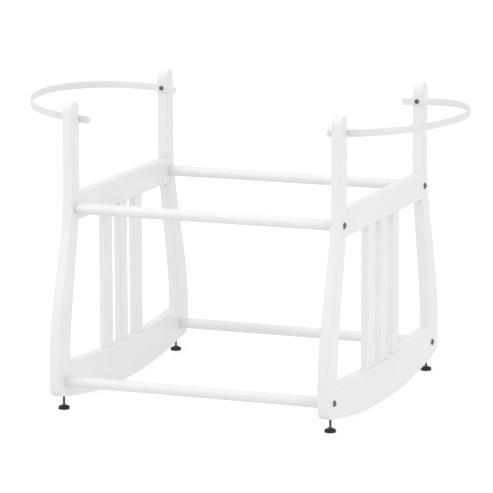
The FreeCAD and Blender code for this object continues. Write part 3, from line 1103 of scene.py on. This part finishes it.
@dataclass
class RoundRails:
    """The four round rails between the panels."""

    finishes: Finishes
    sides: int = 96
    rim_radius: float = 0.0012
    rim_segments: int = 3
    nut_room: float = 1 * MM

    def build(self) -> None:
        """Models one rail and sets a copy at each of its places."""
        places = [(label(end, level, "rail"), (1, 1, 1)) for level in ("upper", "lower") for end in End]
        like = places[0][0]
        set_boards(self.rail(like), like, places, self.finishes.lacquer[Axis.X])

    def rail(self, node: str) -> Piece:
        """A round rail with softened rims and a blind hole under each end for its cross nut.

        Args:
            node: The CAD node that gives its place.

        Returns:
            The rail, not yet dressed.
        """
        low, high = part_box(node)
        middle = (low + high) / 2
        radius = (high.z - low.z) / 2
        piece = Piece.turned("rail", (low.x, middle.y, middle.z), (high.x, middle.y, middle.z),
                             radius, self.sides)
        with piece.editing("EDGE"):
            piece.round_edges(self.rim_radius, self.rim_segments)
        nut_low, nut_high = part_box(node + "_nuts")
        nut_radius = (nut_high.y - nut_low.y) / 2
        for x in (nut_low.x + nut_radius, nut_high.x - nut_radius):
            piece.drill((x, middle.y, low.z - radius), (x, middle.y, nut_high.z + self.nut_room),
                        nut_radius)
        return piece


# ---- screws and bolts ----


@dataclass
class DomedScrew:
    """A domed socket-head screw, modelled pointing along a direction.

    Each row of the dome is a share of the height above the rim, and the scale from the row before.
    """

    head_radius: float
    head_height: float
    shank_radius: float
    rim_share: float = 0.30
    dome: tuple = ((0.34, 0.965), (0.66, 0.90), (0.86, 0.84), (0.97, 0.80), (1.0, 0.86))
    socket_flats: float = 0.004
    socket_depth: float = 0.0022
    tip_share: float = 0.3
    tip_scale: float = 0.7

    def make(self, name: str, seat: Vector, direction: Vector, shank: float,
             shoulder_radius: float = 0.0, shoulder: float = 0.0) -> Piece:
        """Models the screw.

        Args:
            name: Its name.
            seat: The middle of the underside of its head.
            direction: The way the head points.
            shank: How far the shank goes the other way.
            shoulder_radius: The radius of a shoulder under the head, if there is one.
            shoulder: How long the shoulder is.

        Returns:
            The screw, not yet dressed.
        """
        rim = self.head_height * self.rim_share
        piece = Piece.turned(name, seat, seat + direction * rim, self.head_radius)
        with piece.editing():
            piece.facing(direction)
            height = rim
            for share, scale in self.dome:
                target = rim + (self.head_height - rim) * share
                piece.grow(direction * (target - height), (scale,) * 3)
                height = target
            piece.facing(-direction)
            self._add_shank(piece, direction, shank, shoulder_radius, shoulder)
        socket_radius = self.socket_flats / math.sqrt(3)
        top = seat + direction * self.head_height
        piece.carve(Piece.turned("hex_key", top - direction * self.socket_depth,
                                 top + direction * self.socket_depth, socket_radius, HEX_SIDES))
        return piece

    def _add_shank(self, piece: Piece, direction: Vector, shank: float, shoulder_radius: float,
                   shoulder: float) -> None:
        """Grows the shoulder and the shank out of the selected underside.

        Args:
            piece: The screw's head.
            direction: The way the head points.
            shank: How long the shank is.
            shoulder_radius: The radius of the shoulder, if there is one.
            shoulder: How long the shoulder is.
        """
        radius = self.head_radius
        if shoulder > 0:
            piece.grow((0, 0, 0), (shoulder_radius / radius,) * 3)
            piece.grow(-direction * shoulder)
            radius = shoulder_radius
        piece.grow((0, 0, 0), (self.shank_radius / radius,) * 3)
        piece.grow(-direction * (shank - self.shank_radius * self.tip_share))
        piece.grow(-direction * self.shank_radius * self.tip_share, (self.tip_scale,) * 3)


@dataclass
class RailBolts:
    """The bolts on the outer faces of the panels, which hold the round rails."""

    finishes: Finishes
    head_height: float = 0.0036
    shank_radius: float = 0.003

    def build(self) -> None:
        """Models one bolt of the right panel and sets a pair of copies at each rail level."""
        low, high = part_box(label(Side.RIGHT, "upper", "rail_bolts"))
        head_radius = (high.z - low.z) / 2
        seat = Vector((high.x - self.head_height, high.y - head_radius, (low.z + high.z) / 2))
        screw = DomedScrew(head_radius, self.head_height, self.shank_radius)
        bolt = screw.make("bolt", seat, Vector((1, 0, 0)), seat.x - low.x)
        for side in Side:
            for level in ("upper", "lower"):
                self._pair(bolt, seat, label(side, level, "rail_bolts"), side, head_radius)
        bolt.scrap()

    def _pair(self, bolt: Piece, seat: Vector, node: str, side: Side, head_radius: float) -> None:
        """Sets a front and a back copy of the bolt, as one piece.

        Args:
            bolt: The bolt that was modelled.
            seat: Where its head sits.
            node: The CAD node of the pair.
            side: The panel that the pair is in.
            head_radius: The radius of the heads.
        """
        low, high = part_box(node)
        bolts = []
        for end, y in ((End.FRONT, low.y + head_radius), (End.BACK, high.y - head_radius)):
            shift = (0, y - seat.y, (low.z + high.z) / 2 - seat.z)
            bolts.append(bolt.copy(node + "_nickel", shift, (side.value, 1, 1)))
        piece = bolts[0].merge(bolts[1:])
        piece.finish(self.finishes.fastener, "dark_fastener", "frame", [node], SMOOTH_HARDWARE)


# ---- hoops ----


@dataclass
class Hoops:
    """The band hoops, their pivot screws and the washers beside the posts.

    Each is modelled once at the right panel, the band level, and copied.
    """

    finishes: Finishes
    band_height: float = 0.016
    band_thickness: float = 0.003
    edge_radius: float = 0.0008
    edge_segments: int = 3
    reach: float = 0.192
    tail_corner: float = 0.006
    corner_share: float = 0.98      # of the tail's corner, in the radius that rounds it
    tail_segments: int = 6
    pivot_radius: float = 0.0035
    thread_radius: float = 0.003
    gap: float = 0.0003
    head_height: float = 0.0033
    washer_rim: float = 0.25 * MM
    washer_segments: int = 2
    rim_steps: int = 160

    def __post_init__(self) -> None:
        """Reads the pivot's place from the screws, and the band's ends from the hoop."""
        low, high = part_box(label(Side.RIGHT, "hoop_screws"))
        self.head_radius = (high.z - low.z) / 2
        self.pivot = Vector(((low.x + high.x) / 2, 0.0, (low.z + high.z) / 2))
        self.screw_reach = high.y
        band_low, band_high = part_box(label(Side.RIGHT, "hoop"))
        self.half_span = band_high.y
        self.post_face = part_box(label(Side.RIGHT, End.BACK, "leg"))[0].y
        tilt = math.radians(REST_TILTS[Side.RIGHT])
        drop = self.band_height / 2 * math.sin(tilt)
        self.tail = (self.pivot.x - band_low.x - drop) / math.cos(tilt)

    def build(self) -> None:
        """Models and dresses the hoops and their hardware."""
        band, screw, washer = self.band(), self.screw(), self.washer()
        for side in Side:
            flip = (side.value, 1, 1)
            node = label(side, "hoop")
            hoop = band.copy("coated_" + node, flip=flip)
            self._tilt(hoop, side)
            hoop.finish(self.finishes.band, "painted_band", label("hoop", side), [node],
                        SMOOTH_HARDWARE)
            self._pair(screw, label(side, "hoop_screws"), "nickel", flip,
                       self.finishes.fastener, "dark_fastener")
            self._pair(washer, label(side, "hoop_washers"), "nylon", flip,
                       self.finishes.nylon, "clear_nylon")
        for pattern in (band, screw, washer):
            pattern.scrap()

    def _pair(self, pattern: Piece, node: str, ending: str, flip: tuple,
              look: bpy.types.Material, slot: str) -> None:
        """Sets a front and a back copy of a piece of hardware, as one piece.

        Args:
            pattern: What was modelled, for the back post.
            node: The CAD node of the pair.
            ending: The last word of the piece's name.
            flip: The mirroring for the panel.
            look: Its finish.
            slot: A name handed on to finish.
        """
        name = node + "_" + ending
        pair = [pattern.copy(name, flip=(flip[0], end.value, 1)) for end in End]
        pair[0].merge(pair[1:]).finish(look, slot, "frame", [node], SMOOTH_HARDWARE)

    def band(self) -> Piece:
        """The band: half an ellipse drawn out upwards, given tails, thickness and rounded edges.

        Returns:
            The right band, level and not yet dressed.
        """
        base_z = self.pivot.z - self.band_height / 2
        clear_selection()
        bpy.ops.mesh.primitive_circle_add(vertices=self.rim_steps, radius=1.0, fill_type="NOTHING",
                                          location=(self.pivot.x, 0, base_z))
        bpy.context.object.scale = (self.reach, self.half_span, 1.0)
        piece = Piece("band")
        with piece.editing("VERT"):
            piece.pick_verts(lambda vert: vert.co.x - self.pivot.x < -TOUCH)
            bpy.ops.mesh.delete(type="VERT")
        with piece.editing("VERT"):
            piece.pick_verts(lambda vert: abs(vert.co.x - self.pivot.x) < TOUCH)
            for length in (self.tail - self.tail_corner, self.tail_corner):
                bpy.ops.mesh.extrude_region_move(TRANSFORM_OT_translate={"value": (-length, 0, 0)})
        rise = (0, 0, self.band_height)
        with piece.editing("EDGE"):
            bpy.ops.mesh.select_all(action="SELECT")
            bpy.ops.mesh.extrude_region_move(TRANSFORM_OT_translate={"value": rise})
        self._round_tails(piece)
        self._thicken(piece)
        start = Vector((self.pivot.x, -self.post_face, self.pivot.z))
        end = Vector((self.pivot.x, self.post_face, self.pivot.z))
        piece.drill(start, end, self.pivot_radius)
        return piece

    def _round_tails(self, piece: Piece) -> None:
        """Rounds the two corners at the end of each tail.

        Args:
            piece: The band, still a thin sheet.
        """
        end_x = self.pivot.x - self.tail
        with piece.editing("VERT"):
            piece.pick_verts(lambda vert: abs(vert.co.x - end_x) < TOUCH)
            bpy.ops.mesh.bevel(offset=self.tail_corner * self.corner_share,
                               segments=self.tail_segments, affect="VERTICES")

    def _thicken(self, piece: Piece) -> None:
        """Gives the band its thickness on the inside, and rounds its edges.

        Args:
            piece: The band, still a thin sheet.
        """
        with piece.editing():
            bpy.ops.mesh.select_all(action="SELECT")
            bpy.ops.mesh.remove_doubles(threshold=MERGE)
            piece.pick_faces(lambda face: True)
            mesh = bmesh.from_edit_mesh(piece.obj.data)
            crown = max(mesh.faces, key=lambda face: face.calc_center_median().x)
            if crown.normal.x < 0:
                bpy.ops.mesh.flip_normals()
        piece.modify("SOLIDIFY", thickness=self.band_thickness, offset=-1.0, use_even_offset=True)
        piece.clean()
        with piece.editing("EDGE"):
            piece.round_edges(self.edge_radius, self.edge_segments)

    def _tilt(self, piece: Piece, side: Side) -> None:
        """Raises a hoop about its pivots to its resting angle.

        Args:
            piece: The hoop, level.
            side: The panel it is on.
        """
        turn = math.radians(REST_TILTS[side])
        centre = Vector((self.pivot.x * side.value, 0.0, self.pivot.z))
        with piece.editing("VERT"):
            bpy.ops.mesh.select_all(action="SELECT")
            before = self._crown_z(piece, side)
            bpy.ops.transform.rotate(value=turn, orient_axis="Y", center_override=centre)
            if self._crown_z(piece, side) < before:
                bpy.ops.transform.rotate(value=-2 * turn, orient_axis="Y", center_override=centre)

    def _crown_z(self, piece: Piece, side: Side) -> float:
        """Height of a band's outermost point."""
        mesh = bmesh.from_edit_mesh(piece.obj.data)
        return max(mesh.verts, key=lambda vert: vert.co.x * side.value).co.z

    def screw(self) -> Piece:
        """A shoulder screw, its head on the inner face of the band.

        Returns:
            The right back screw, not yet dressed.
        """
        seat_y = self.half_span - self.band_thickness - self.gap
        screw = DomedScrew(self.head_radius, self.head_height, self.thread_radius)
        seat = Vector((self.pivot.x, seat_y, self.pivot.z))
        return screw.make("pivot_screw", seat, Vector((0, -1, 0)), self.screw_reach - self.post_face,
                          self.pivot_radius, self.post_face - seat_y)

    def washer(self) -> Piece:
        """A nylon washer between the band and the post.

        Returns:
            The right back washer, not yet dressed.
        """
        low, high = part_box(label(Side.RIGHT, "hoop_washers"))
        radius = (high.z - low.z) / 2
        start = Vector((self.pivot.x, self.half_span + self.gap, self.pivot.z))
        stop = Vector((self.pivot.x, high.y, self.pivot.z))
        piece = Piece.turned("washer", start, stop, radius)
        with piece.editing("EDGE"):
            piece.round_edges(self.washer_rim, self.washer_segments)
        step = Vector((0, radius, 0))
        piece.drill(start - step, stop + step, self.pivot_radius)
        return piece


# ---- levelling feet ----


@dataclass
class LevellingFeet:
    """The levelling feet: a ribbed pad, and a threaded stem with its hexagonal collar.

    The left front foot is modelled and the others are copies of it. Each row of the pad's body is
    a share of its height above the rim, and a share of the pad's width.
    """

    finishes: Finishes
    base_height: float = 0.7 * MM
    base_share: float = 0.95
    rim_height: float = 0.006
    body: tuple = ((0.10, 0.985), (0.20, 0.945), (0.55, 0.76), (0.86, 0.62), (0.97, 0.585),
                   (1.0, 0.55))
    rib_sides: int = 72
    rib_every: int = 3
    rib_room: float = 1 * MM
    groove_inset: float = 0.12 * MM
    groove_depth: float = 0.35 * MM
    stem_radius: float = 0.003
    stem_sides: int = 36
    stem_rim: float = 0.5 * MM
    plug_rim: float = 0.4 * MM
    rim_segments: int = 2
    collar_height: float = 0.002
    collar_gap: float = 0.0002
    collar_rim: float = 0.35 * MM
    collar_rim_angle: float = 70.0
    collar_segments: int = 3
    pitch: float = 0.001
    thread_depth: float = 0.0006
    thread_sunk: float = 0.1 * MM
    thread_half: float = 0.42       # of the pitch, at the root
    thread_steps: int = 20          # in a turn
    plain_turns: float = 1.5        # left without a thread at the stem's tip

    def __post_init__(self) -> None:
        """Reads the pad and the stem from the frame."""
        corner = label(Side.LEFT, End.FRONT)
        self.pad_node = corner + "_foot_pad"
        self.stem_node = corner + "_foot_stem"
        self.pad_low, self.pad_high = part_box(self.pad_node)
        self.stem_low, self.stem_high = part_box(self.stem_node)
        self.middle = (self.pad_low + self.pad_high) / 2

    def at(self, z: float) -> Vector:
        """A point on the foot's axis."""
        return Vector((self.middle.x, self.middle.y, z))

    def build(self) -> None:
        """Models one foot and sets a dressed copy under each leg."""
        pad, stem = self.pad(), self.stem()
        for side, end in CORNERS:
            node = label(side, end, "foot_pad")
            copy = pad.copy_to("moulded_" + node, self.pad_node, node)
            copy.finish(self.finishes.rubber, "black_rubber", label("foot", side, end), [node],
                        SMOOTH_HARDWARE)
            node = label(side, end, "foot_stem")
            copy = stem.copy_to("threaded_" + node, self.stem_node, node)
            copy.finish(self.finishes.stem_steel, "zinc_steel", label("stem", side, end), [node],
                        SMOOTH_HARDWARE)
        pad.scrap()
        stem.scrap()

    def pad(self) -> Piece:
        """The pad: a disc grown up into a tapered body, ribbed round its rim, hollowed for the stem.

        Returns:
            The pad, not yet dressed.
        """
        radius = (self.pad_high.x - self.pad_low.x) / 2
        piece = Piece.turned("pad", self.at(self.pad_low.z + self.base_height),
                             self.at(self.rim_height), radius, self.rib_sides)
        rise = self.pad_high.z - self.rim_height
        with piece.editing():
            piece.facing((0, 0, 1))
            height, width = self.rim_height, 1.0
            for up, share in self.body:
                step = self.rim_height + rise * up
                piece.grow((0, 0, step - height), (share / width, share / width, 1))
                height, width = step, share
            piece.facing((0, 0, -1))
            piece.grow((0, 0, -self.base_height), (self.base_share, self.base_share, 1))
            piece.pick_faces(self._is_groove)
            bpy.ops.mesh.inset(use_individual=True, thickness=self.groove_inset,
                               depth=-self.groove_depth)
        piece.drill(self.at(self.stem_low.z - self.collar_gap), self.at(self.pad_high.z * 2),
                    self.stem_radius, ROUND_SIDES)
        return piece

    def _is_groove(self, face: bmesh.types.BMFace) -> bool:
        """Tells every third flat of the rim, which is sunk so that the others stand as ribs.

        Args:
            face: A face of the pad.

        Returns:
            True if it is to be sunk.
        """
        middle = face.calc_center_median()
        at_rim = self.pad_low.z < middle.z < self.rim_height + self.rib_room
        if abs(face.normal.z) > UPRIGHT or not at_rim:
            return False
        turn = math.atan2(middle.y - self.middle.y, middle.x - self.middle.x) / TAU
        return round(turn * self.rib_sides - 0.5) % self.rib_every == 0

    def stem(self) -> Piece:
        """The stem: a core, a helical thread above the collar, and the collar.

        Returns:
            The stem, not yet dressed.
        """
        radius = self.stem_radius
        root = radius - self.thread_depth
        collar_low = self.pad_high.z + self.collar_gap
        collar_high = collar_low + self.collar_height
        core = Piece.turned("stem", self.at(self.stem_low.z), self.at(self.stem_high.z), root,
                            self.stem_sides)
        with core.editing("EDGE"):
            core.round_edges(self.stem_rim, self.rim_segments)
        plug = Piece.turned("plug", self.at(self.stem_low.z), self.at(collar_low), radius,
                            self.stem_sides)
        with plug.editing("EDGE"):
            plug.round_edges(self.plug_rim, self.rim_segments)
        collar_radius = (self.stem_high.y - self.stem_low.y) / math.sqrt(3)
        collar = Piece.turned("collar", self.at(collar_low), self.at(collar_high), collar_radius,
                              HEX_SIDES)
        with collar.editing("EDGE"):
            collar.round_edges(self.collar_rim, self.collar_segments,
                               lambda edge: sharp(edge, self.collar_rim_angle))
        thread = self._thread(collar_high, self.stem_high.z - self.plain_turns * self.pitch, root,
                              radius)
        return core.merge([plug, collar, thread])

    def _thread(self, low_z: float, high_z: float, root: float, radius: float) -> Piece:
        """A helical ridge of triangular section.

        Args:
            low_z: Where it starts.
            high_z: Where it ends.
            root: The radius of the core.
            radius: The radius of its crest.

        Returns:
            The ridge, closed at both ends.
        """
        turns = int((high_z - low_z) / self.pitch)
        clear_selection()
        bpy.ops.mesh.primitive_circle_add(vertices=3, radius=1.0, fill_type="NOTHING",
                                          rotation=(math.pi / 2, 0, math.pi / 2), location=(0, 0, 0))
        ridge = Piece("ridge")
        with ridge.editing("VERT"):
            sunk, half = root - self.thread_sunk, self.thread_half * self.pitch
            spots = ((sunk, -half), (radius, 0.0), (sunk, half))
            mesh = bmesh.from_edit_mesh(ridge.obj.data)
            for vert, (out, up) in zip(list(mesh.verts), spots):
                vert.co = (out, 0.0, up)
            bmesh.update_edit_mesh(ridge.obj.data)
        steps = self.thread_steps * turns
        ridge.modify("SCREW", axis="Z", angle=TAU * turns, screw_offset=self.pitch * turns,
                     steps=steps, render_steps=steps, use_merge_vertices=False)
        with ridge.editing("EDGE"):
            bpy.ops.mesh.select_non_manifold()
            bpy.ops.mesh.fill()
            bpy.ops.mesh.select_all(action="SELECT")
            bpy.ops.mesh.normals_make_consistent(inside=False)
            bpy.ops.transform.translate(value=(self.middle.x, self.middle.y, low_z + self.pitch / 2))
        return ridge


# ---- pieces kept as they are ----


@dataclass
class HiddenHardware:
    """The dowels, inserts and cross nuts, which keep their CAD shape and get a finish."""

    finishes: Finishes

    def build(self) -> None:
        """Dresses every CAD node that is still shown."""
        looks = {"dowels": self.finishes.beech, "nuts": self.finishes.zinc,
                 "inserts": self.finishes.brass, "insert": self.finishes.brass}
        for name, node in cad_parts.items():
            look = looks.get(name.rsplit("_", 1)[-1])
            if look is None or node.hide_render:
                continue
            for material_slot in node.material_slots:
                material_slot.material = look
            log.info("%-28s keeps its shape, in %s", name, look.name)


# ---- the studio ----


@dataclass(frozen=True)
class Lamp:
    """A square soft light, its size in metres and its power in watts."""

    name: str
    place: tuple
    size: float
    power: float

    def hang(self, target: Vector) -> None:
        """Adds the light, turned towards a point.

        Args:
            target: What it lights.
        """
        data = bpy.data.lights.new(self.name, "AREA")
        data.shape = "SQUARE"
        data.size = self.size
        data.energy = self.power
        lamp = bpy.data.objects.new(self.name, data)
        bpy.context.scene.collection.objects.link(lamp)
        lamp.location = self.place
        aim = target - Vector(self.place)
        lamp.rotation_euler = aim.to_track_quat("-Z", "Y").to_euler()


@dataclass
class Studio:
    """A pale floor, soft lights and the camera; angles are in degrees."""

    lens: float = 262.5
    azimuth: float = 21.23
    elevation: float = 10.67
    roll: float = 0.17
    camera_place: tuple = (2.889, -7.451, 1.836)
    clip: tuple = (0.1, 200.0)
    floor_size: float = 160.0
    floor_tone: tuple = (0.60, 0.60, 0.60)
    floor_grain: float = 40.0
    floor_gloss: tuple = (0.3, 0.7, 0.60, 0.72)
    floor_glow: float = 0.48
    key: Lamp = Lamp("key", (-2.6, -3.4, 3.6), 3.2, 58.0)
    fill: Lamp = Lamp("fill", (4.2, -2.2, 1.8), 3.0, 36.0)
    top: Lamp = Lamp("top", (0.0, 0.6, 4.2), 3.6, 26.0)
    lit_height: float = 0.3
    sky_strength: float = 0.85

    def build(self) -> None:
        """Sets up the camera, the floor, the lights and the sky."""
        self.camera()
        self.floor()
        self.lights()
        self.sky()
        view = bpy.context.scene.view_settings
        view.view_transform = "Standard"
        view.look = "None"

    def camera(self) -> None:
        """Adds the camera, with a long lens, at the front right and a little above."""
        data = bpy.data.cameras.new("camera")
        data.lens = self.lens
        data.clip_start, data.clip_end = self.clip
        camera = bpy.data.objects.new("camera", data)
        bpy.context.scene.collection.objects.link(camera)
        turn, lift = math.radians(self.azimuth), math.radians(self.elevation)
        level = math.cos(lift)
        aim = Vector((-math.sin(turn) * level, math.cos(turn) * level, -math.sin(lift)))
        camera.location = self.camera_place
        camera.rotation_euler = aim.to_track_quat("-Z", "Y").to_euler()
        camera.rotation_euler.rotate_axis("Z", -math.radians(self.roll))
        bpy.context.scene.camera = camera

    def floor(self) -> None:
        """Lays a wide white floor at the height of the feet."""
        clear_selection()
        bpy.ops.mesh.primitive_plane_add(size=self.floor_size, location=(0, 0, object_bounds()[0].z))
        plane = bpy.context.object
        plane.name = "studio_floor"
        graph = Graph("studio_floor")
        grain = graph.noise(self.floor_grain, graph.place(), detail=4.0)
        graph.fixed(Base_Color=self.floor_tone, Roughness=grain.window(*self.floor_gloss))
        graph.fixed(Emission_Color=(1.0, 1.0, 1.0), Emission_Strength=self.floor_glow)
        plane.data.materials.append(graph.material)
        plane.visible_diffuse = False
        plane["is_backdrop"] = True

    def lights(self) -> None:
        """Hangs a large soft key above the front left, a fill at the right and a top light."""
        for lamp in (self.key, self.fill, self.top):
            lamp.hang(Vector((0, 0, self.lit_height)))

    def sky(self) -> None:
        """Sets an even white surround."""
        world = bpy.data.worlds.new("surround")
        world.use_nodes = True
        background = world.node_tree.nodes["Background"].inputs
        background["Color"].default_value = (1.0, 1.0, 1.0, 1.0)
        background["Strength"].default_value = self.sky_strength
        bpy.context.scene.world = world


def main() -> None:
    """Builds the stand and its studio."""
    logging.basicConfig(level=logging.INFO, format="%(message)s")
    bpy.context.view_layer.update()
    Studio().build()
    finishes = Finishes()
    for assembly in (EndPanels, RoundRails, RailBolts, Hoops, LevellingFeet, HiddenHardware):
        assembly(finishes).build()


if __name__ == "__main__":
    main()
